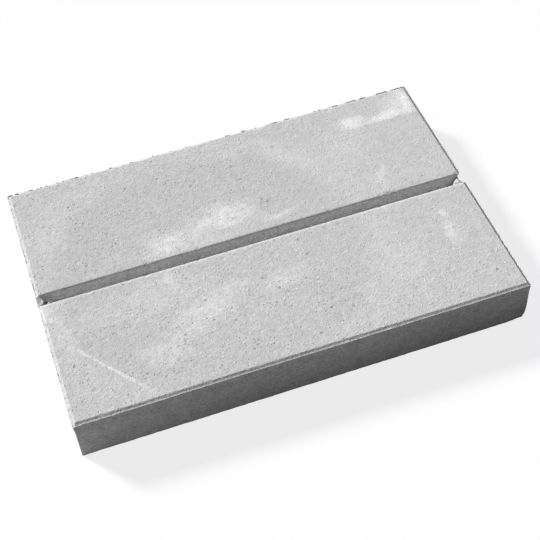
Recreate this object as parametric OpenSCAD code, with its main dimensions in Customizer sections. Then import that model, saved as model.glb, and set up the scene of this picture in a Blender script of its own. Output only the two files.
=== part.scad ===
// Flat concrete wall coping cap, pressed in one piece, with a splitting groove along its middle.
// Row frame: +X along the wall, +Y across it, +Z up. Origin at the centre of the bed face.
// All sizes are in millimetres.

/* [Slab] */
// Length of the slab along the wall
slab_length = 500; // [300:5:1000]
// Width of the slab across the wall
slab_width = 350; // [200:5:600]
// Height from the bed face to the top face
slab_height = 53; // [40:1:100]
// Radius of the four upright corners
corner_radius = 2; // [0.5:0.5:8]

/* [Top edge] */
// Horizontal run of the pressed bevel round the top face
bevel_run = 2; // [1:0.5:6]
// Drop of that bevel below the top face
bevel_drop = 2; // [1:0.5:6]
// Width of the flat ledge between the bevel and the side face
ledge_width = 2; // [1:0.5:5]

/* [Splitting groove] */
// Width between the groove's walls where they would meet the top face
groove_width = 14; // [10:1:30]
// Depth of the groove below the top face
groove_depth = 22; // [14:1:30]
// How far each groove wall leans inwards over the full depth
groove_lean = 1.5; // [0:0.25:3]
// Radius of the rounded arris along both groove edges
groove_arris_radius = 2; // [0.5:0.25:3]
// Radius in the two corners of the groove's floor
groove_floor_radius = 3; // [1:0.5:3.5]

/* [End webs] */
// Thickness of the thin web that closes the groove at each end
web_thickness = 4; // [2:0.5:8]
// Depth to which the web at the +X end is broken away, below the top face
broken_web_drop = 12; // [6:0.5:13]

/* [Hidden] */

concrete_grey = [0.80, 0.80, 0.80];

// Facets round a full turn of an upright corner
corner_facets = 48;
// Steps in each quarter round of the groove's section
quarter_round_steps = 6;
// Overrun of a cutter past the faces that it opens
overrun = 1;

// The web at the -X end is whole, so its top runs on from the ledge
whole_web_drop = bevel_drop;

// Half the groove's width at a depth below the top face
function groove_half_width(depth) = groove_width / 2 - groove_lean * depth / groove_depth;

// Points of an arc in (y, z) about a centre, from one angle to another
function arc(centre, radius, from, to) =
    [for (i = [0 : quarter_round_steps])
        let (a = from + (to - from) * i / quarter_round_steps)
        centre + radius * [cos(a), sin(a)]];

// Points with y reversed, in the opposite order, so that they close an outline
function mirrored(points) = [for (i = [len(points) - 1 : -1 : 0]) [-points[i][0], points[i][1]]];

// Stepped outline of the slab over a span, from the bed face up: side face, ledge, bevel, top face
module slab_outline(span) {
    half = span / 2;
    shoulder = slab_height - bevel_drop;
    bevel_foot = half - ledge_width;
    bevel_head = bevel_foot - bevel_run;
    polygon([
        [-half, 0],
        [half, 0],
        [half, shoulder],
        [bevel_foot, shoulder],
        [bevel_head, slab_height],
        [-bevel_head, slab_height],
        [-bevel_foot, shoulder],
        [-half, shoulder],
    ]);
}

// Plan of the slab, with its four rounded corners
module slab_plan() {
    inner_x = slab_length / 2 - corner_radius;
    inner_y = slab_width / 2 - corner_radius;
    square([slab_length, 2 * inner_y], center = true);
    square([2 * inner_x, slab_width], center = true);
    for (x = [-inner_x, inner_x], y = [-inner_y, inner_y])
        translate([x, y])
            circle(r = corner_radius, $fn = corner_facets);
}

// Blank slab: the same stepped edge runs round all four sides
module blank() {
    intersection() {
        linear_extrude(height = slab_height)
            slab_plan();
        rotate([90, 0, 90])
            linear_extrude(height = slab_length, center = true)
                slab_outline(slab_width);
        rotate([90, 0, 0])
            linear_extrude(height = slab_width, center = true)
                slab_outline(slab_length);
    }
}

// Section of the groove in (y, z) below the top face: rounded arrises, leaning walls, rounded floor
module groove_section() {
    arris_y = groove_half_width(groove_arris_radius) + groove_arris_radius;
    floor_corner_y = groove_half_width(groove_depth - groove_floor_radius) - groove_floor_radius;
    side = concat(
        [[arris_y, overrun]],
        arc([arris_y, -groove_arris_radius], groove_arris_radius, 90, 180),
        arc([floor_corner_y, groove_floor_radius - groove_depth], groove_floor_radius, 0, -90)
    );
    polygon(concat(side, mirrored(side)));
}

// Cutter for one stretch of the groove, from x_start to x_end, down to a depth below the top face
module groove_stretch(x_start, x_end, depth) {
    cut_width = groove_width + 4 * groove_arris_radius;
    translate([x_start, 0, slab_height])
        intersection() {
            rotate([90, 0, 90])
                linear_extrude(height = x_end - x_start)
                    groove_section();
            translate([0, -cut_width / 2, -depth])
                cube([x_end - x_start, cut_width, depth + 2 * overrun]);
        }
}

// The groove stops at a web at each end: one whole up to the ledge, one broken away lower down
module groove() {
    end_x = slab_length / 2;
    web_x = end_x - web_thickness;
    groove_stretch(-web_x, web_x, groove_depth);
    groove_stretch(-end_x - overrun, -web_x + overrun, whole_web_drop);
    groove_stretch(web_x - overrun, end_x + overrun, broken_web_drop);
}

module coping_slab() {
    color(concrete_grey)
        difference() {
            blank();
            groove();
        }
}

coping_slab();
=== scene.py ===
import math

import bmesh
import bpy
import numpy as np
from mathutils import Matrix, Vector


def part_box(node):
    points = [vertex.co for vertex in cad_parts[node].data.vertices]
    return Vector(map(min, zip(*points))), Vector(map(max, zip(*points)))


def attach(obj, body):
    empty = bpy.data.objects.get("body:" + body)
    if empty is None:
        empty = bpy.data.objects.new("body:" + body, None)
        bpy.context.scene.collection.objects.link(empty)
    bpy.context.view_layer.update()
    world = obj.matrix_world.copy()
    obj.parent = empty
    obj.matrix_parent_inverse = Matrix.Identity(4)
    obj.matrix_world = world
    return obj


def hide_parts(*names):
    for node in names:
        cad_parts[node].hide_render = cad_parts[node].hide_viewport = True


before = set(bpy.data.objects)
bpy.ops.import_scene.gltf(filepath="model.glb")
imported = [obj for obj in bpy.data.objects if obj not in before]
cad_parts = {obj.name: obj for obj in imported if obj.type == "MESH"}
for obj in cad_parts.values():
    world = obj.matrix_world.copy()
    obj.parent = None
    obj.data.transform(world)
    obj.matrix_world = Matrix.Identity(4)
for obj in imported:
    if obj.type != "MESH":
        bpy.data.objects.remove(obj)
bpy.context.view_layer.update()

# ----------------------------------------------------------------------------------------------
# The coping slab: one block of dry concrete mix, pressed in a steel mould and pushed out green.
# The mould leaves a bevel and a narrow ledge round the top face. A blade in it leaves the groove
# that a mason splits the block along, closed by a thin web of concrete at each end.

_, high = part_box("coping_slab")
half_length, half_width, height = high.x, high.y, high.z

bevel_run = 0.002
bevel_drop = 0.002
ledge_width = 0.002
groove_half_width = 0.007
groove_depth = 0.022
groove_lean = 0.0015
arris_radius = 0.002
groove_floor_radius = 0.003


def ruled(*spans):
    """Grid lines along one axis: each span (start, end, steps) is divided evenly, shared ends once."""
    lines = [np.linspace(start, end, steps, endpoint=False) for start, end, steps in spans]
    return np.concatenate(lines + [[spans[-1][1]]])


def lumps(u, v, size, seed):
    """Smooth random heights from 0 to 1. A square lattice of cells of the given size holds seeded
    random numbers, and a point blends the four round it by 3t^2 - 2t^3 along each axis."""
    table = np.random.default_rng(seed).random((512, 512))
    column, row = np.floor(u / size).astype(int), np.floor(v / size).astype(int)
    s, t = u / size - column, v / size - row
    s, t = s * s * (3 - 2 * s), t * t * (3 - 2 * t)
    near = table[row % 512, column % 512] * (1 - s) + table[row % 512, (column + 1) % 512] * s
    far = table[(row + 1) % 512, column % 512] * (1 - s) + table[(row + 1) % 512, (column + 1) % 512] * s
    return near * (1 - t) + far * t


def hollows(x, y, cell, largest, share, seed):
    """Depths from 0 to 1 of round hollows. A share of the cells of a square lattice have one, at a
    random place and with a random radius from 0.45 to 1 of the largest. A hollow's floor is the bowl
    1 - (distance / radius)^2, and small hollows are shallower."""
    draws = np.random.default_rng(seed).random((4, 512, 512))
    column, row = np.floor(x / cell).astype(int), np.floor(y / cell).astype(int)
    depth = np.zeros_like(x)
    for step_x in (-1, 0, 1):
        for step_y in (-1, 0, 1):
            draw = draws[:, (row + step_y) % 512, (column + step_x) % 512]
            away = np.hypot(x / cell - column - step_x - draw[0], y / cell - row - step_y - draw[1])
            radius = largest / cell * (0.45 + 0.55 * draw[2])
            bowl = (draw[3] < share) * np.clip(1 - (away / radius) ** 2, 0, 1) * (0.5 + 0.5 * draw[2])
            depth = np.maximum(depth, bowl)
    return depth


# Grid lines, from each end and side inwards: close together over the ledge, the bevel, the webs and
# the groove, even between them. The mould has worn more at the right end and at the rear, where the
# bevel is wider.
bevel_end = ledge_width + bevel_run
right_ledge_width = 0.0013
right_bevel_end = 0.0043
rear_bevel_end = 0.0050
web_lines_end = 0.0070
left_lines_end = 0.0145
right_lines_end = 0.0148
edge_spans = ((0, 0.0004, 1), (0.0004, 0.0009, 1), (0.0009, ledge_width, 1), (ledge_width, bevel_end, 3))
right_spans = (*edge_spans[:2], (0.0009, right_ledge_width, 1), (right_ledge_width, right_bevel_end, 3))
left_lines = ruled(*edge_spans, (bevel_end, web_lines_end, 7), (web_lines_end, left_lines_end, 9))
right_lines = ruled(*right_spans, (right_bevel_end, right_lines_end, 9))
middle_x = np.linspace(left_lines[-1] - half_length, half_length - right_lines[-1], 292)[1:-1]
lines_x = np.concatenate([left_lines - half_length, middle_x, half_length - right_lines[::-1]])


def half_gap(drop):
    """Half the groove's width at a drop below the top face: its walls lean in as they go down."""
    return groove_half_width - groove_lean * drop / groove_depth


arris_y = half_gap(arris_radius) + arris_radius
arris_turn = np.radians([15, 32, 50, 70, 90])
arris_rows = arris_y - arris_radius * np.sin(arris_turn)
arris_drops = arris_radius * (1 - np.cos(arris_turn))
wall_foot = groove_depth - groove_floor_radius
wall_drops = np.array([0.0045, 0.0075, 0.0105, 0.0135, 0.0165])
corner_y = half_gap(wall_foot) - groove_floor_radius
corner_turn = np.radians(np.linspace(90, 0, 5))
corner_rows = corner_y + groove_floor_radius * np.sin(corner_turn)
corner_drops = wall_foot + groove_floor_radius * np.cos(corner_turn)
bevel_head = half_width - rear_bevel_end
lip_end = 0.013
lip_lines = ruled((arris_y, 0.0098, 1), (0.0098, 0.0112, 1), (0.0112, lip_end, 1))
face_y = np.linspace(lip_end, bevel_head, 98)[1:-1]
side_lines = ruled(*edge_spans, (bevel_end, rear_bevel_end, 1))
top_y = np.concatenate([half_width - side_lines, face_y[::-1], lip_lines[::-1]])
half_y = np.concatenate([top_y, arris_rows, half_gap(wall_drops), corner_rows, [corner_y / 2]])
half_drop = np.concatenate([0 * top_y, arris_drops, wall_drops, corner_drops, [groove_depth]])
lines_y = np.concatenate([half_y, [0], -half_y[::-1]])
lines_drop = np.concatenate([half_drop, [groove_depth], half_drop[::-1]])


# Bites out of the right ledge: where each is along the side, and how far it reaches either way.
right_bites = (
    (-0.0462, 0.0018),
    (-0.0726, 0.0018),
    (-0.1022, 0.0018),
    (-0.1107, 0.0030),
    (-0.1200, 0.0024),
    (-0.1273, 0.0028),
    (-0.1413, 0.0016),
)

# Unevenness of the stepped edge in metres: the ranges over which its steps wander, and the largest
# nick. Then the slope by which a bite falls towards the outer edge.
broad_wander = 0.0004
fine_wander = 0.0003
nick_depth = 0.0012
bite_slope = 1.4


def edge_drop(x, y):
    """The stepped edge: by distance from each side, a ledge that falls from the bevel's foot to the
    outer edge, then the bevel up to the top face. The lowest of the four sides counts. Lumps make
    the steps wander and nick them, and each bite steepens the right ledge, most at its middle."""
    wander = broad_wander * (lumps(x, y, 0.014, 11) - 0.5) + fine_wander * (lumps(x, y, 0.003, 12) - 0.5)
    nicks = nick_depth * np.clip(lumps(x, y, 0.005, 13) - 0.78, 0, None) / 0.22
    # Each side: the distance from it, the ledge's width, the bevel's end, and the drops at the
    # outer edge and at the bevel's foot.
    sides = (
        (x + half_length, ledge_width, bevel_end, 0.0029, bevel_drop),
        (half_length - x, right_ledge_width, right_bevel_end, 0.0030, 0.0025),
        (y + half_width, 0.0014, bevel_end, 0.0019, 0.0017),
        (half_width - y, ledge_width, rear_bevel_end, 0.0026, 0.0022),
    )
    drop = np.zeros_like(x)
    for inset, foot, head, outer_drop, foot_drop in sides:
        inset = inset + wander * (inset > 0.001) - nicks
        drop = np.maximum(drop, np.interp(inset, [0, foot, head], [outer_drop, foot_drop, 0]))
    for bite_y, reach in right_bites:
        bite = np.clip(1.6 - 1.6 * np.abs(y - bite_y) / reach, 0, 1)
        drop = drop + bite_slope * bite * np.clip(right_ledge_width - (half_length - x), 0, None)
    return drop


# The left web is whole. How far it reaches in from the end, by place across the groove.
web_rows = (-0.0065, -0.0053, -0.0040, -0.0015, 0.0000, 0.0024, 0.0054, 0.0080)
web_reach = (0.0026, 0.0036, 0.0047, 0.0063, 0.0068, 0.0066, 0.0061, 0.0052)
web_outer_drop = 0.0016
web_fall = 0.26
web_slope_run = 0.0010


def whole_web(y, from_end, ragged):
    """The left web, as two drops that lumps roughen: of its top, which falls evenly inwards and lies
    half as deep at the rear, and of the whole, whose inner face falls on to the groove's floor."""
    rise = np.clip((y - 0.0020) / 0.0050, 0, 1)
    top = (web_outer_drop + web_fall * from_end) * (1 - 0.5 * rise) + 0.0003 * ragged
    web_edge = np.interp(y, web_rows, web_reach)
    inside = np.clip((from_end - web_edge - 0.0006 * (ragged - 0.5)) / web_slope_run, 0, 1)
    return top, top + (groove_depth - top) * inside


# The right web is torn off. How far down its stub is, and how far in from the end it breaks away,
# by place across the groove.
stub_rows = (-0.0067, 0, 0.0030, 0.0062)
stub_drops = (0.0018, 0.0027, 0.0048, 0.0115)
brink_rows = (-0.0067, -0.0030, 0, 0.0030, 0.0062)
brink_reach = (0.0145, 0.0138, 0.0115, 0.0095, 0.0080)
stub_crown = 0.0070
stub_fall = 0.6
brink_fall = 5.0


def torn_web(y, from_end, ragged):
    """The drop of the right web's stub: level inwards of its crown, a fall from there to the end, and
    a steep fall past its brink down to the groove's floor, all roughened by lumps."""
    drop = np.interp(y, stub_rows, stub_drops)
    brink = np.interp(y, brink_rows, brink_reach)
    to_end = np.clip(stub_crown - from_end, 0, None)
    past_brink = np.clip(from_end - brink, 0, None)
    drop = drop + stub_fall * to_end + brink_fall * past_brink
    drop = drop + 0.0012 * (ragged - 0.5)
    return np.minimum(drop, groove_depth)


# Depths in metres of the wear and the texture of the top face and the groove.
arris_wear = 0.0001
chip_depth = 0.0012
front_roll = 0.0003
large_pit_depth = 0.0009
small_pit_depth = 0.0006
broad_swell = 0.00008
fine_swell = 0.00007
wall_roughness = 0.00035


def top_heights(x, y, groove_drop):
    """Height of the top face: the height less the larger of the stepped edge's drop and the groove's
    drop, which a web holds up at each end. Lumps chip the groove's arrises, roughen its walls and
    make the flat face swell, and hollows pit it. The front arris is rolled over a little more."""
    # The front arris reads its lumps 3 m further on, so that it isn't chipped like the rear one.
    along = np.where(y > 0, x, x + 3)
    chip = np.clip(lumps(along, 0 * y, 0.005, 14) - 0.80, 0, None) / 0.20
    on_arris = np.clip(1 - np.abs(np.abs(y) - arris_y + 0.0005) / 0.0026, 0, 1)
    rolled = front_roll * np.clip(1 - (np.abs(y) - arris_y) / 0.0018, 0, 1) ** 2 * (y < 0)
    groove = groove_drop + (arris_wear + chip_depth * chip) * on_arris + rolled

    ragged = lumps(x, y, 0.0022, 16)
    from_end = half_length - np.abs(x)
    web_top, left_web = whole_web(y, from_end, ragged)
    web = np.where(x < 0, left_web, torn_web(y, from_end, ragged))
    over_web = np.clip((0.0085 - np.abs(y)) / 0.0020, 0, 1) * (x < 0)
    edge = edge_drop(x, y)
    edge = edge + (np.minimum(edge, web_top) - edge) * over_web
    drop = np.maximum(edge, np.minimum(groove, web))

    from_side = np.minimum(half_width - np.abs(y), from_end)
    flat = (groove_drop == 0) & (from_side > 0.006)
    large_pits = large_pit_depth * hollows(x, y, 0.012, 0.0022, 0.16, 17)
    pits = large_pits + small_pit_depth * hollows(x, y, 0.006, 0.0016, 0.16, 18)
    swell = broad_swell * (lumps(x, y, 0.009, 19) - 0.5) + fine_swell * (lumps(x, y, 0.004, 20) - 0.5)
    walls = wall_roughness * lumps(x, y, 0.0035, 21) * (groove_drop > arris_radius)
    return height - np.clip(drop + flat * pits + swell * (from_side > 0.004) + walls, 0, None)


# Unevenness of the sides in metres: waves move them in and fade out further inside the block, and
# the feet and two of the ledges are worn.
broad_wave = 0.0002
fine_wave = 0.0001
wave_fade = 0.004
foot_wear = 0.0004
right_ledge_wear = 0.0004
rear_ledge_wear = 0.0006

# How far the ends lean in, and how far inside the block the lean has faded out. At the right end
# three leans add up: one all over, one below the ledge and one that grows down to the foot.
left_lean_reach = 0.0012
right_lean_all = 0.0006
right_lean_lower = 0.0018
right_lean_foot = 0.0027
lean_fade = 0.012

# Radii of the upright edges, of which the front left one is the sharpest.
rear_right_radius = 0.0050
rear_left_radius = 0.0035
front_right_radius = 0.0030
front_left_radius = 0.0018


def true_up(points):
    """Sides that aren't quite true: each point moves in from its nearest side by up to 0.3 mm of
    lumps, less with distance. The bottom arris and the rear and right ledges are a little worn. The
    ends lean in below the ledge, most at the front right, and the upright edges are rounded by
    squeezing a square into a disc."""
    x, y, z = points.T
    in_x, in_y = half_length - np.abs(x), half_width - np.abs(y)
    soft_x, soft_y = np.clip(1 - in_x / wave_fade, 0, 1), np.clip(1 - in_y / wave_fade, 0, 1)
    uneven = broad_wave * lumps(x + y, z, 0.022, 31) + fine_wave * lumps(x - y, z, 0.006, 32)
    worn = foot_wear * np.clip(1 - z / 0.0012, 0, 1) ** 2 * (0.5 + lumps(x, y, 0.005, 33))
    shoulder = np.clip((z - height + 0.011) / 0.009, 0, 1) * (0.6 + 0.8 * lumps(x + y, z, 0.0035, 34))
    right_wear = right_ledge_wear * shoulder * (x > 0) * np.clip(1 - in_x / ledge_width, 0, 1)
    rear_wear = rear_ledge_wear * shoulder * (y > 0) * np.clip(1 - in_y / ledge_width, 0, 1)

    to_front = np.clip(0.5 - y / (1.6 * half_width), 0, 1)
    left_lean = left_lean_reach * np.clip((height - bevel_drop - z) / 0.010, 0, 1) * (x < 0)
    below = np.clip((height - bevel_drop - z) / 0.006, 0, 1)
    right_lean = right_lean_all + right_lean_lower * below + right_lean_foot * (1 - z / height)
    right_lean = right_lean * to_front ** 2 * (x > 0)
    ends = np.clip(1 - in_x / lean_fade, 0, 1) * (left_lean + right_lean)
    x = x - np.sign(x) * (soft_x * (uneven + worn) + right_wear + ends)
    y = y - np.sign(y) * (soft_y * (uneven + worn) + rear_wear)

    rear_radius = np.where(x > 0, rear_right_radius, rear_left_radius)
    front_radius = np.where(x > 0, front_right_radius, front_left_radius)
    radius = np.where(y > 0, rear_radius, front_radius)
    u = np.clip((np.abs(x) - half_length + radius) / radius, 0, 1)
    v = np.clip((np.abs(y) - half_width + radius) / radius, 0, 1)
    x = x - np.sign(x) * radius * u * (1 - np.sqrt(1 - v * v / 2))
    y = y - np.sign(y) * radius * v * (1 - np.sqrt(1 - u * u / 2))
    return np.stack([x, y, z], axis=1)


def knock_off(points, corner, normal, depth, reach, rough, seed):
    """A broken corner: what stands past a plane, set in by depth from the corner along its normal,
    goes back to the plane, which 3 mm lumps make uneven. The break fades out over the last quarter
    of its reach from the corner."""
    normal = np.array(normal) / np.linalg.norm(normal)
    uneven = rough * (lumps(points[:, 0] + points[:, 2], points[:, 1] - points[:, 2], 0.003, seed) - 0.5)
    past = (points - np.array(corner)) @ normal + depth + uneven
    near = np.clip(4 - 4 * np.linalg.norm(points - np.array(corner), axis=1) / reach, 0, 1)
    return points - (np.clip(past, 0, None) * near)[:, None] * normal


def hollow_out(points, centre, radius):
    """A hollow: points inside a ball go straight out from its centre to its surface."""
    away = points - np.array(centre)
    return np.array(centre) + away * np.maximum(1, radius / np.linalg.norm(away, axis=1))[:, None]


def quads(first, second, third, fourth):
    """Faces of four corners each, from four arrays that hold the corners' point numbers."""
    return np.stack([first, second, third, fourth], axis=-1).reshape(-1, 4)


# Heights of the rows down the walls, as shares of the rim's height: close at the top and bottom.
wall_shares = np.array([0.985, 0.955, 0.88, 0.72, 0.52, 0.32, 0.15, 0.06, 0.022, 0.008, 0])
# The bed face takes every eighth grid line.
stride = 8


def coping_slab_mesh():
    """The top face is a grid of heights. Four walls go down from its rim, row by row, and the bed
    face is a coarser grid, whose outer cells take in all the points of the walls' lowest row."""
    across, along = len(lines_y), len(lines_x)
    x, y = np.meshgrid(lines_x, lines_y)
    drop = np.broadcast_to(lines_drop[:, None], x.shape)
    top = np.stack([x, y, top_heights(x, y, drop)], axis=-1).reshape(-1, 3)
    index = np.arange(across * along).reshape(across, along)
    rim = np.concatenate([index[-1, :-1], index[:0:-1, -1], index[0, :0:-1], index[:-1, 0]])
    walls = np.repeat(top[None, rim], len(wall_shares), axis=0)
    walls[:, :, 2] *= wall_shares[:, None]
    count = len(rim)
    rows = np.vstack([rim, len(top) + np.arange(walls.shape[0] * count).reshape(-1, count)])
    bed = np.stack([x, y, 0 * x], axis=-1)[::-1][stride:-1:stride, stride:-1:stride]
    first = len(top) + walls.shape[0] * count
    points = np.concatenate([top, walls.reshape(-1, 3), bed.reshape(-1, 3)])

    ahead = np.roll(rows, -1, axis=1)
    inner = first + np.arange(bed.shape[0] * bed.shape[1]).reshape(bed.shape[:2])
    blocks = (
        quads(index[:-1, :-1], index[1:, :-1], index[1:, 1:], index[:-1, 1:]),
        quads(rows[:-1], rows[1:], ahead[1:], ahead[:-1]),
        quads(inner[:-1, :-1], inner[1:, :-1], inner[1:, 1:], inner[:-1, 1:]),
    )

    # Along each side of the bed, a cell joins nine rim points to two of the coarse grid's. The cell
    # at the corner joins all the rim points of both its sides to one.
    rim_row = rows[-1]
    steps_x, steps_y = (along - 1) // stride, (across - 1) // stride
    border, start = [], 0
    ring = [inner[0, :], inner[:, -1], inner[-1, ::-1], inner[::-1, 0]]
    for side, steps in enumerate((steps_x, steps_y, steps_x, steps_y)):
        cells = start + stride * np.arange(1, steps - 1)[:, None] + np.arange(stride + 1)
        inside = np.stack([ring[side][1:], ring[side][:-1]], axis=1)
        border.append(np.concatenate([rim_row[cells % count], inside], axis=1))
        start += stride * steps
        turn = start - stride + np.arange(2 * stride + 1)
        border.append(np.concatenate([rim_row[turn % count], [ring[side][-1]]])[None])
    faces = []
    for block in blocks:
        faces += block.tolist()
    for block in border:
        faces += block[:, ::-1].tolist()
    return points, faces


# What has broken off: the front right foot twice, the rear right top corner, and the top corner
# beside the torn web. Each has its corner, the plane's normal, depth, reach, roughness and seed.
breaks = (
    ((half_length, -half_width, 0), (0.07, -0.50, -0.86), 0.0026, 0.050, 0.0008, 40),
    ((half_length, -half_width, 0), (0.80, -0.45, -0.40), 0.0077, 0.018, 0.0008, 41),
    ((half_length, half_width, height), (0.6, 0.5, 0.6), 0.0022, 0.010, 0.0010, 43),
    ((half_length, groove_half_width, height), (0.72, -0.50, -0.48), 0.0015, 0.014, 0.0006, 44),
)

# Holes, each the centre and radius of a ball: two in the groove's wall by the left web, and a chip
# out of the front arris near the right end.
holes = (
    ((-0.2408, 0.0042, 0.0368), 0.0040),
    ((-0.2432, 0.0046, 0.0352), 0.0036),
    ((0.2272, -0.0068, 0.0528), 0.0022),
)

points, faces = coping_slab_mesh()
points = true_up(points)
for broken in breaks:
    points = knock_off(points, *broken)
for centre, radius in holes:
    points = hollow_out(points, centre, radius)
points = np.clip(points, [-half_length, -half_width, 0], [half_length, half_width, height])
slab_mesh = bpy.data.meshes.new("coping_slab_pressed")
slab_mesh.from_pydata(points.tolist(), [], faces)
slab_mesh.validate()
slab_mesh.shade_smooth()
slab_mesh.set_sharp_from_angle(angle=math.radians(32))
slab = bpy.data.objects.new("coping_slab_pressed", slab_mesh)
bpy.context.scene.collection.objects.link(slab)


class Wire:
    """A value in a material. Arithmetic on wires adds the Math nodes that work it out."""

    def __init__(self, tree, socket=None):
        self.tree = tree
        self.socket = socket

    def node(self, kind, output=0, settings=(), **values):
        """Adds a node of a type, sets its settings first and then its sockets, and gives one output.
        A socket is named with _ for a space, or by its number after _."""
        made = self.tree.nodes.new(kind)
        for name, value in dict(settings).items():
            setattr(made, name, value)
        for name, value in values.items():
            socket = made.inputs[int(name[1:]) if name[0] == "_" else name.replace("_", " ")]
            if isinstance(value, Wire):
                self.tree.links.new(value.socket, socket)
            else:
                socket.default_value = value
        return Wire(self.tree, made.outputs[output] if len(made.outputs) else None)

    def math(self, operation, first, second=0.0):
        """One operation on two numbers or wires."""
        return self.node("ShaderNodeMath", 0, {"operation": operation}, _0=first, _1=second)

    def __add__(self, other):
        return self.math("ADD", self, other)

    def __sub__(self, other):
        return self.math("SUBTRACT", self, other)

    def __rsub__(self, other):
        return self.math("SUBTRACT", other, self)

    def __mul__(self, other):
        return self.math("MULTIPLY", self, other)

    def __truediv__(self, other):
        return self.math("DIVIDE", self, other)

    def __abs__(self):
        return self.math("ABSOLUTE", self)

    __radd__ = __add__
    __rmul__ = __mul__

    def most(self, other):
        """The larger of this and the other."""
        return self.math("MAXIMUM", self, other)

    def least(self, other):
        """The smaller of this and the other."""
        return self.math("MINIMUM", self, other)

    def step(self, start, end):
        """0 before start, 1 past end, and an S between."""
        return self.node("ShaderNodeMapRange", 0, {"interpolation_type": "SMOOTHSTEP"},
                         Value=self, From_Min=start, From_Max=end)

    def vector(self, operation, other, output=0):
        """One operation on this vector and another. Output 1 is the number that it gives."""
        return self.node("ShaderNodeVectorMath", output, {"operation": operation}, _0=self, _1=other)

    def axes(self):
        """The three parts of a vector."""
        split = self.node("ShaderNodeSeparateXYZ", 0, Vector=self).socket.node
        return [Wire(self.tree, output) for output in split.outputs]

    def noise(self, size, detail=2.0, roughness=0.5, shift=(0, 0, 0)):
        """Smooth noise about 0.5 in lumps of a size in metres, read at this place."""
        moved = self.vector("ADD", shift)
        return self.node("ShaderNodeTexNoise", 0, Vector=moved, Scale=1 / size, Detail=detail,
                         Roughness=roughness)

    def turned(self, degrees):
        """This place turned about the upright axis."""
        settings = {"rotation_type": "Z_AXIS"}
        return self.node("ShaderNodeVectorRotate", 0, settings, Vector=self, Angle=math.radians(degrees))

    def dragged(self, size, reach):
        """This place moved at random within a reach along each axis, in lumps of a size in metres."""
        push = self.node("ShaderNodeTexNoise", "Color", Vector=self, Scale=1 / size, Detail=3.0,
                         Roughness=0.6)
        return self.vector("ADD", push.vector("SUBTRACT", (0.5, 0.5, 0.5)).vector("MULTIPLY", reach))

    def specks(self, cell, radius, share, shift=(0, 0, 0)):
        """1 inside scattered round specks and 0 outside, with a soft edge. A random lattice with cells
        of a size in metres has a speck at a share of its points, of a random size from 0.45 to 1 of
        the radius."""
        moved = self.vector("ADD", shift)
        cells = self.node("ShaderNodeTexVoronoi", 0, Vector=moved, Scale=1 / cell)
        draw = Wire(self.tree, cells.socket.node.outputs["Color"]).axes()
        size = radius / cell * (0.45 + 0.55 * draw[1])
        inside = 1 - (cells / size).step(0.25, 1.0)
        return inside * (1 - draw[0].step(share, share + 0.02))


# The concrete's grey, from black 0 to white 1, and its limits. Lime, the scratch and the painted highlights
# on the groove's front arris and the left rim add to it. All the other marks change it by a share of itself;
# the darkening of the pits and of the hollow by the left web is painted shade.
bare_grey = 0.587
darkest_grey = 0.05
palest_grey = 0.85
lime_pale = 0.165
scratch_pale = 0.15
# Painted highlights: on the groove's front arris and on the left rim.
arris_highlight = 0.07
rim_highlight = 0.05
grain_pale = 0.21
# Painted shade in the pits.
pit_shade = 0.31
curl_dark = 0.08
# Painted shade in the hollow by the left web.
hollow_shade = 0.45
cloud_depth = 0.10
front_right_pale = 0.036
disc_dark = 0.038
ring_pale = 0.036
line_dark = 0.024
spot_dark = 0.05

# Height in metres of the fine relief.
relief_height = 0.00038

# Patches of lime bloom: each has its centre, half-widths in metres, turn in degrees and strength.
lime_patches = (
    (-0.096, 0.026, 0.032, 0.021, 0, 1.15),
    (-0.060, 0.034, 0.024, 0.014, 0, 0.70),
    (-0.026, 0.044, 0.046, 0.023, 6, 1.20),
    (0.034, 0.026, 0.030, 0.008, 4, 0.70),
    (-0.104, -0.026, 0.008, 0.024, 0, 0.80),
    (-0.082, -0.080, 0.052, 0.024, 28, 0.70),
    (-0.045, -0.060, 0.030, 0.012, 10, 0.50),
    (-0.134, -0.119, 0.034, 0.018, 0, 0.60),
    (0.008, -0.072, 0.030, 0.014, 20, 0.50),
    (0.206, -0.073, 0.012, 0.020, 0, 0.75),
    (0.207, -0.043, 0.008, 0.010, 0, 0.70),
    (0.168, 0.036, 0.007, 0.024, 0, 0.50),
    (-0.238, -0.030, 0.007, 0.028, 14, 0.70),
    (-0.150, -0.046, 0.100, 0.034, 0, 0.36),
    (-0.226, -0.058, 0.018, 0.032, 0, 0.42),
    (-0.070, 0.016, 0.074, 0.012, 0, 0.50),
    (0.142, -0.100, 0.030, 0.050, 0, 0.26),
    (0.140, 0.098, 0.030, 0.044, 0, 0.22),
    (-0.215, 0.110, 0.024, 0.055, -35, 0.25),
    (0.070, 0.115, 0.016, 0.050, 40, 0.25),
)

# The dense patch of lime by the rear right corner is made of these, given in the same way.
dense_patches = (
    (0.238, 0.145, 0.012, 0.032, 0, 1.6),
    (0.209, 0.131, 0.034, 0.011, 10, 1.5),
    (0.165, 0.134, 0.021, 0.014, 0, 1.5),
    (0.226, 0.143, 0.022, 0.024, -40, 0.8),
)

# The largest pits of the top face, painted dark with their shade, each with its place and radius.
chosen_pits = (
    (-0.1175, 0.1310, 0.0018),
    (-0.0450, -0.1450, 0.0024),
    (-0.0500, -0.1490, 0.0018),
    (-0.0430, -0.1400, 0.0014),
    (0.0210, -0.1550, 0.0026),
    (0.2250, -0.1430, 0.0022),
    (-0.2450, -0.1560, 0.0016),
    (-0.1110, -0.1050, 0.0026),
    (0.0300, 0.0480, 0.0024),
    (0.0250, 0.0540, 0.0018),
    (-0.1490, 0.0500, 0.0020),
    (-0.1530, 0.0470, 0.0014),
)


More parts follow.
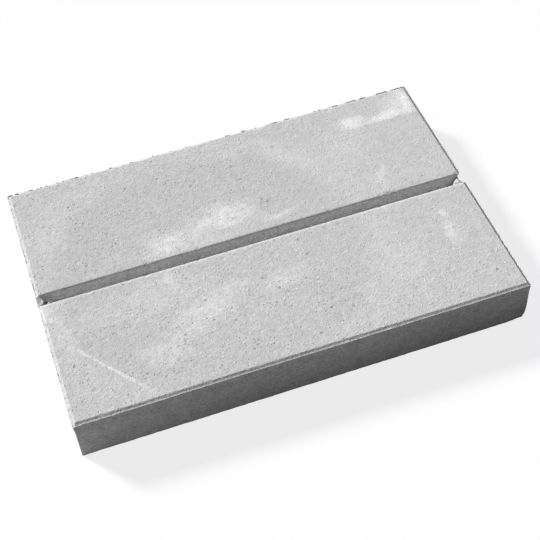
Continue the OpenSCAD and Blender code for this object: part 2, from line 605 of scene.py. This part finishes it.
def smear(place, x, y, across, along, turn, strength):
    """Share of lime in a soft patch turned by degrees: its strength near the centre, falling along an
    S to nothing at 1.25 of its half-widths."""
    local = place.vector("SUBTRACT", (x, y, 0)).turned(-turn)
    away = local.vector("MULTIPLY", (1 / across, 1 / along, 0)).vector("LENGTH", (0, 0, 0), 1)
    return (1 - away.step(0.15, 1.25)) * strength


def lime(place):
    """Pale lime bloom: the strongest of its patches. Noise drags them out of shape and breaks them
    up. The dense patch by the rear right corner has crisp edges at its front and its right."""
    dragged = place.dragged(0.034, (0.046, 0.034, 0)).dragged(0.009, (0.010, 0.010, 0))
    bloom = 0.0
    for patch in lime_patches:
        bloom = smear(dragged, *patch).most(bloom)
    cloudy = place.noise(0.008, 4.0, 0.7, (2, 4, 6)).step(0.30, 0.68)
    bloom = bloom * (0.42 + 1.00 * cloudy)

    nudged = place.dragged(0.014, (0.012, 0.008, 0))
    x, y, _ = nudged.axes()
    crisp = y.step(0.1215, 0.1250) * (1 - x.step(0.2405, 0.2450))
    dense = 0.0
    for patch in dense_patches:
        dense = smear(nudged, *patch).most(dense)
    return bloom.most(dense.least(1.40) * crisp * (0.85 + 0.3 * cloudy))


def scratch(place):
    """A soft pale scratch near the front left corner: bright close to a slanted line, with a wider
    halo, both broken by noise. It is weaker past its middle and fades at both ends."""
    middle = (-0.1940, -0.1208, 0)
    slant = 53
    wander = 0.0014
    run, off, _ = place.vector("SUBTRACT", middle).turned(slant).axes()
    off = abs(off + wander * (place.noise(0.015) - 0.5))
    core = (1 - off.step(0.0005, 0.0022)) * place.noise(0.004, 3.0).step(0.20, 0.55)
    halo = (1 - off.step(0.0010, 0.0042)) * place.noise(0.009, 3.0).step(0.30, 0.65)
    fade = run.step(-0.052, -0.042) * (1 - 0.5 * run.step(0.022, 0.032)) * (1 - run.step(0.040, 0.060))
    return (core + (0.45 + 0.35 * run.step(0.0, 0.04)) * halo) * fade


def drying(place, x, y):
    """How the way the top face dried changes its tone, about 0. A faint disc dried last, darkest at
    its border, with a paler ring round it. It stops at a straight faint line near the rear edge.
    There is one dark spot, and the front right is a little paler than the rear left."""
    disc_middle = (-0.060, -0.020, 0.050)
    waver = 0.036 * (place.noise(0.04, 3.0) - 0.5)
    from_disc = place.vector("DISTANCE", disc_middle, 1) + waver
    under_line = 1 - (y + 0.004 * (place.noise(0.03) - 0.5)).step(0.1315, 0.1355)
    damp = (from_disc.step(0.06, 0.160) * 0.7 + 0.3) * (1 - from_disc.step(0.160, 0.178)) * under_line
    dry_ring = from_disc.step(0.168, 0.182) * (1 - from_disc.step(0.190, 0.225))
    line = (1 - abs(y - 0.1335).step(0.0005, 0.0025)) * (1 - abs(x + 0.02).step(0.15, 0.18))
    spot = 1 - (place.vector("DISTANCE", (0.0270, 0.0500, height), 1) / 0.016).step(0.2, 1.0)
    # The top face grows a little paler towards the front right.
    to_front_right = (x - y).step(-0.14, 0.12)
    return front_right_pale * to_front_right - disc_dark * damp + ring_pale * dry_ring - line_dark * line - spot_dark * spot


def pitting(place, torn, open_face):
    """Shares of the pits between the grains, whose darkness is painted shade: small and larger ones
    scattered at random, darker where they crowd and on the open part of the face, and the largest in their
    own places."""
    crowd = place.noise(0.022, 2.0, 0.5, (4, 4, 1)).step(0.42, 0.60)
    pits = torn.specks(0.0034, 0.0015, 0.55) * (0.25 + 0.75 * crowd)
    pits = pits.most(torn.specks(0.0110, 0.0030, 0.35, (0.3, 0.1, 0.2)) * (0.5 + 0.7 * crowd)) * open_face
    for pit_x, pit_y, radius in chosen_pits:
        from_pit = torn.vector("DISTANCE", (pit_x, pit_y, height), 1)
        pits = pits.most(1 - from_pit.step(0.3 * radius, radius))
    return pits


def curls(place):
    """Shares of short curved marks: thin lines where one noise crosses its middle, kept only where
    another is high."""
    curl = 1 - abs(place.noise(0.007, 1.0, 0.5, (6, 2, 9)) - 0.5).step(0.0, 0.022)
    return curl * place.noise(0.009, 1.0, 0.5, (1, 8, 3)).step(0.52, 0.62)


def painted_side_light(x, y, z, outer, in_groove):
    """The factor by which the sides' tone changes, all painted light and shade: paler low down at the front
    left as painted bounce light, darker to the right and lower down as painted shade, and darkest at the
    right end's foot. The groove's walls are a little paler, as painted bounce light."""
    depth = 1 - z / height
    to_left = 1 - (x / half_length).step(-0.9, -0.1)
    to_right = (x / half_length).step(-0.1, 0.9)
    shaded_foot = (x / half_length).step(0.88, 1.0) * depth.step(0.25, 0.80)
    by_front = 1 - y.step(-0.165, -0.100)
    # Painted bounce light low at the front left, painted shade to the right, lower down and at the right
    # end's foot.
    painted_light = 0.36 * depth * to_left * by_front - (0.11 + 0.08 * depth) * to_right - 0.05 * depth
    painted_light = (painted_light - 0.10 * shaded_foot) * outer
    return 1 + painted_light + (0.06 + 0.04 * to_left) * in_groove


def web_hollow_shade(torn, x, y, z):
    """Shares of the painted shade in the dark hollow in the groove's rear wall by the left web: a ragged
    wedge that narrows upwards to a tip, and half as dark, the painted shade of a thin crack that slants on
    up from the tip."""
    tip_x, tip_z = -0.2413, 0.0443
    ragged_x, _, ragged_z = torn.axes()
    # Painted shade of the hollow and of a thin crack.
    hollow = (tip_z - ragged_z - 1.55 * abs(ragged_x - tip_x)).step(0.0, 0.0010) * z.step(0.0330, 0.0350)
    crack = 1 - abs(0.928 * (x - tip_x) + 0.374 * (z - tip_z)).step(0.0003, 0.0009)
    crack = crack * z.step(0.0438, 0.0446) * (1 - z.step(0.0505, 0.0520))
    return hollow.most(0.5 * crack) * y.step(0.0030, 0.0040) * (1 - y.step(0.0085, 0.0095))


def concrete():
    """Grey cement with fine sand: soft clouds, pale lime bloom, pits painted dark with their shade, and pale
    grains, with painted light and shade on the sides, the groove's front arris, the left rim and the hollow
    by the left web. The top face is the most open, its right part less so, and the pressed sides are
    smoother still."""
    material = bpy.data.materials.new("pressed_concrete")
    material.use_nodes = True
    tree = material.node_tree
    tree.nodes.clear()
    place = Wire(tree).node("ShaderNodeTexCoord", "Object")
    x, y, z = place.axes()
    torn = place.dragged(0.0015, (0.0020, 0.0020, 0.0020))

    # Where on the block: the top face, its rim, the groove's walls and the outer sides. Then how
    # open the top face is.
    top = z.step(height - 0.0030, height - 0.0012)
    side = 1 - top
    inset = (half_length - abs(x)).least(half_width - abs(y))
    rim = 1 - inset.step(0.0035, 0.0050)
    from_end = half_length - abs(x)
    in_groove = (1 - abs(y).step(0.0080, 0.0100)) * side * from_end.step(0.0005, 0.0015)
    in_groove = in_groove * z.step(height - groove_depth - 0.0020, height - groove_depth - 0.0010)
    outer = side * (1 - in_groove)
    open_face = 1 - 0.45 * (x + 0.3 * y).step(0.03, 0.11) * (0.35 + 0.65 * y.step(-0.12, -0.05))
    front_half = 1 - y.step(-0.02, 0.02)

    # Sand: fine grain, soft mottling, pits between the grains, pale grains that show, and short
    # curved marks. The outer sides have pale and dark spots of their own.
    fine = place.noise(0.0011, 2.0, 0.6) - 0.5
    grain = place.noise(0.0028, 2.0, 0.6, (1, 2, 3)) - 0.5
    mottle = place.noise(0.0090, 3.0, 0.65, (5, 1, 2)) - 0.5
    pits = pitting(place, torn, open_face)
    grains = torn.specks(0.0042, 0.0016, 0.50, (0.5, 0.2, 0.7))
    curl = curls(place)
    rough_top = 0.40 + 0.60 * top + 0.50 * in_groove
    strong = (open_face + 0.06 * front_half) * rough_top
    sand = (0.56 * fine + 0.44 * grain) * strong + 0.30 * mottle * (0.7 + 0.3 * top)
    pale_spots = torn.specks(0.0150, 0.0020, 0.35, (0.2, 0.6, 0.4))
    spots = 0.09 * pale_spots - 0.13 * torn.specks(0.0085, 0.0019, 0.40)
    sand = sand + (0.30 * fine + 0.75 * grain + 0.45 * mottle + spots) * outer
    sand = sand + (0.15 * fine + 0.65 * grain) * in_groove

    clouds = place.noise(0.045, 3.0, 0.55) - 0.5
    tone = 1 + cloud_depth * clouds + top * drying(place, x, y)
    # The pits are darkened by painted shade.
    shade = tone * (1 + sand - (pit_shade * pits + curl_dark * curl) * top + grain_pale * grains * strong)
    # The sides take painted light and shade, and the hollow by the left web takes painted shade.
    shade = shade * painted_side_light(x, y, z, outer, in_groove) * (1 - hollow_shade * web_hollow_shade(torn, x, y, z))

    # The groove's front arris and the left rim are painted pale: a painted highlight where they face the
    # sun.
    bloom = lime(place) * top
    arris_highlight_mask = (1 - abs(y + 0.0094).step(0.0004, 0.0020)) * (0.6 + 0.8 * mottle)
    rim_highlight_mask = 1 - (x + half_length).step(0.0014, 0.0030)
    marks = scratch_pale * scratch(place) + arris_highlight * arris_highlight_mask + rim_highlight * rim_highlight_mask
    grey = bare_grey * shade + lime_pale * bloom + marks * top
    grey = grey.least(palest_grey).most(darkest_grey)

    relief = 0.7 * fine + 1.2 * grain + 0.4 * mottle - 1.0 * pits - 0.25 * curl + 0.9 * grains
    relief = relief * (rough_top + 0.5 * rim)
    bump = place.node("ShaderNodeBump", 0, Strength=1.0, Distance=relief_height, Height=relief)
    rough = 0.88 - 0.05 * bloom
    shader = place.node("ShaderNodeBsdfPrincipled", 0, Base_Color=grey, Roughness=rough, Normal=bump,
                        Specular_IOR_Level=0.25)
    place.node("ShaderNodeOutputMaterial", Surface=shader)
    return material


pressed_concrete = concrete()
slab_mesh.materials.append(pressed_concrete)
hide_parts("coping_slab")
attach(slab, "root")

# ----------------------------------------------------------------------------------------------
# Flash: the mix that the press squeezed up between the mould and its plunger. It stands on the
# ledge's outer edge as a thin broken fin, dense at the rear and the two ends and rare at the front.

# Sizes in metres: the length of a section, how far in from the block's side the fin stands, its
# thickness, how far down its foot is from the ledge, the height that a hidden top is a share of,
# and how far from the middle of the right end it stops on either side.
flash_step = 0.0005
flash_inset = 0.0001
flash_thickness = 0.0006
flash_foot = 0.0006
flash_dip = 0.0012
flash_gap = 0.0130

# Height of a full fin on each side. The share of it that stands grows by the slope where the lumps
# pass their limit, and other lumps scale it by 0.6 to 1.2. Where no fin stands, the share is negative
# and the top is hidden below the ledge. At the top of a full fin each face has moved in by the taper,
# a share of the thickness.
front_fin = 0.0004
rear_fin = 0.0014
right_fin = 0.0022
left_fin = 0.0012
no_fin = -0.3
fin_slope = 9
fin_taper = 0.35


def flash_mesh():
    """One strip of four-cornered sections round the ledge, open at the torn web. At each step the
    fin stands to its side's own height wherever random lumps pass that side's limit, and its top
    stays below the ledge elsewhere and by the left web. A fin is thinner at its top."""
    size = np.array([half_length - flash_inset, half_width - flash_inset])
    gap = flash_gap / size[1]
    corners = np.array([(1, gap), (1, 1), (-1, 1), (-1, -1), (1, -1), (1, -gap)]) * size
    walk = [np.linspace(start, end, int(np.linalg.norm(end - start) / flash_step), endpoint=False)
            for start, end in zip(corners[:-1], corners[1:])]
    outer = np.concatenate(walk)
    inner = outer * (size - flash_thickness) / size
    x, y = outer.T
    along = np.arange(len(outer)) * flash_step
    on_rear, on_front = y > half_width - 0.001, y < 0.001 - half_width

    # Short fins, and longer ones along the right part of the rear edge. More of them stand by the
    # rear left corner.
    short = 0.7 * lumps(along, 0 * along, 0.0022, 51) + 0.3 * lumps(along, 0 * along, 0.0008, 52)
    long = 0.8 * lumps(along, 0 * along, 0.0070, 53) + 0.2 * lumps(along, 0 * along, 0.0010, 54)
    stretched = np.clip((x + 0.10) / 0.15, 0, 1) * on_rear
    left_limit = np.interp(y, [-0.02, 0.02], [0.69, 0.58])
    rear_limit = np.interp(x, [-0.10, 0, 0.06, 0.12], [0.57, 0.69, 0.66, 0.56])
    end_limit = np.where(x > 0, 0.50, left_limit)
    limit = np.where(on_front, 0.80, np.where(on_rear, rear_limit, end_limit))
    by_corner = np.clip(1 - np.hypot(x + half_length, y - half_width) / 0.010, 0, 1)
    over = short + (long - short) * stretched + 0.4 * by_corner - limit

    end_fin = np.where(x > 0, right_fin, left_fin)
    tallest = np.where(on_front, front_fin, np.where(on_rear, rear_fin, end_fin))
    share = np.clip(fin_slope * over, no_fin, 1) * (0.6 + 0.6 * lumps(along, 0 * along, 0.0012, 56))
    share = np.where((np.abs(y) < 0.010) & (x < 0), no_fin, share)
    ledge = height - edge_drop(x, y)
    reach = np.where(share > 0, tallest, np.minimum(tallest, flash_dip))
    crest = np.minimum(ledge + reach * share, height)
    thin = np.clip(share, 0, 1)[:, None] * fin_taper
    rows = np.stack([
        np.column_stack([outer, ledge - flash_foot]),
        np.column_stack([outer + (inner - outer) * thin, crest]),
        np.column_stack([inner + (outer - inner) * thin, crest]),
        np.column_stack([inner, ledge - flash_foot]),
    ])
    count = len(outer)
    index = np.arange(4 * count).reshape(4, count)
    above = np.roll(index, -1, axis=0)
    faces = quads(index[:, :-1], index[:, 1:], above[:, 1:], above[:, :-1])
    ends = np.stack([index[:, 0], index[::-1, -1]])
    return rows.reshape(-1, 3), np.concatenate([faces, ends])


def crumb_mesh(crumbs):
    """Crumbs of concrete: for each, a ball of 80 faces, whose points move in or out at random, is
    stretched to the crumb's half sizes, turned about the upright axis and set in its place."""
    form = bmesh.new()
    bmesh.ops.create_icosphere(form, subdivisions=2, radius=1.0)
    ball_mesh = bpy.data.meshes.new("crumb_ball")
    form.to_mesh(ball_mesh)
    form.free()
    ball = np.empty((len(ball_mesh.vertices), 3), dtype=np.float32)
    ball_mesh.vertices.foreach_get("co", ball.ravel())
    ball = ball.astype(float)
    ball_faces = np.empty((len(ball_mesh.polygons), 3), dtype=np.int32)
    ball_mesh.loops.foreach_get("vertex_index", ball_faces.ravel())
    bpy.data.meshes.remove(ball_mesh)
    rng = np.random.default_rng(61)
    points, faces = [], []
    for number, (place, sizes, turn) in enumerate(crumbs):
        lump = ball * (0.75 + 0.4 * rng.random((len(ball), 1))) * sizes
        c, s = math.cos(math.radians(turn)), math.sin(math.radians(turn))
        points.append(lump @ np.array([[c, s, 0], [-s, c, 0], [0, 0, 1]]) + place)
        faces.append(ball_faces + number * len(ball))
    return np.concatenate(points), np.concatenate(faces)


# Crumbs torn from the webs, each with its place, half sizes and turn in degrees.
crumbs = (
    ((-0.2438, -0.0020, 0.0500), (0.0007, 0.0028, 0.0010), -34),
    ((-0.2380, -0.0054, 0.0498), (0.0017, 0.0023, 0.0014), 0),
    ((0.2490, 0.0150, 0.0505), (0.0009, 0.0013, 0.0010), 0),
)
fin_points, fin_faces = flash_mesh()
fin_points = true_up(fin_points)
crumb_points, crumb_faces = crumb_mesh(crumbs)
points = np.concatenate([fin_points, crumb_points])
points = np.clip(points, [-half_length, -half_width, 0], [half_length, half_width, height])
flash = bpy.data.meshes.new("pressing_flash")
flash.from_pydata(points.tolist(), [], fin_faces.tolist() + (crumb_faces + len(fin_points)).tolist())
flash.validate()
flash.shade_smooth()
flash.set_sharp_from_angle(angle=math.radians(40))
flash.materials.append(pressed_concrete)
pressing_flash = bpy.data.objects.new("pressing_flash", flash)
bpy.context.scene.collection.objects.link(pressing_flash)
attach(pressing_flash, "root")

# ----------------------------------------------------------------------------------------------
# Floor, light and camera: a plain white floor, a soft sun from behind on the left, and the sky.

floor_reach = 20
floor_white = 0.95
floor_bounce = 0.38
shadow_share = 0.2
sky_level = 0.20
sun_elevation = 33
sun_azimuth = 128
sun_softness = 10
camera_place = (-0.2282, -0.9501, 1.0868)
camera_turn, camera_tilt, camera_roll = 14.18, 48.14, 5.92
camera_sensor = 36
camera_lens = 85.46

floor_mesh = bpy.data.meshes.new("floor")
floor_corners = [(floor_reach * x, floor_reach * y, 0) for x, y in ((-1, -1), (1, -1), (1, 1), (-1, 1))]
floor_mesh.from_pydata(floor_corners, [], [(0, 1, 2, 3)])
floor = bpy.data.objects.new("floor", floor_mesh)
bpy.context.scene.collection.objects.link(floor)


def white_floor():
    """White to the camera, with a share of its true shade so that a soft shadow shows. To all other
    rays it is a mid grey, so that it throws less light on the block."""
    material = bpy.data.materials.new("white_floor")
    material.use_nodes = True
    tree = material.node_tree
    tree.nodes.clear()
    rays = Wire(tree).node("ShaderNodeLightPath", "Is Camera Ray")
    glow = rays.node("ShaderNodeEmission", 0, Color=(1, 1, 1, 1), Strength=1.0)
    seen = rays.node("ShaderNodeBsdfDiffuse", 0, Color=(floor_white, floor_white, floor_white, 1))
    lit = rays.node("ShaderNodeBsdfDiffuse", 0, Color=(floor_bounce, floor_bounce, floor_bounce, 1))
    shown = rays.node("ShaderNodeMixShader", 0, _0=shadow_share, _1=glow, _2=seen)
    both = rays.node("ShaderNodeMixShader", 0, _0=rays, _1=lit, _2=shown)
    rays.node("ShaderNodeOutputMaterial", Surface=both)
    return material


floor_mesh.materials.append(white_floor())

# The sky is white to the camera and dim to all other rays. Sky and sun together light a level
# surface as much as a white sky would.
sun_share = 1 - sky_level
world = bpy.data.worlds.new("studio")
world.use_nodes = True
world.node_tree.nodes.clear()
rays = Wire(world.node_tree).node("ShaderNodeLightPath", "Is Camera Ray")
strength = sky_level + sun_share * rays
sky = rays.node("ShaderNodeBackground", 0, Color=(1, 1, 1, 1), Strength=strength)
rays.node("ShaderNodeOutputWorld", Surface=sky)
bpy.context.scene.world = world

sun = bpy.data.lights.new("key", "SUN")
sun.energy = sun_share * math.pi / math.sin(math.radians(sun_elevation))
sun.angle = math.radians(sun_softness)
key = bpy.data.objects.new("key", sun)
key.rotation_euler = (math.radians(90 - sun_elevation), 0, math.radians(sun_azimuth + 90))
bpy.context.scene.collection.objects.link(key)

camera_data = bpy.data.cameras.new("camera")
camera_data.sensor_width = camera_sensor
camera_data.lens = camera_lens
camera = bpy.data.objects.new("camera", camera_data)
camera.matrix_world = (
    Matrix.Translation(camera_place)
    @ Matrix.Rotation(math.radians(-camera_turn), 4, "Z")
    @ Matrix.Rotation(math.radians(90 - camera_tilt), 4, "X")
    @ Matrix.Rotation(math.radians(-camera_roll), 4, "Z")
)
bpy.context.scene.collection.objects.link(camera)
bpy.context.scene.camera = camera
bpy.context.scene.view_settings.view_transform = "Standard"
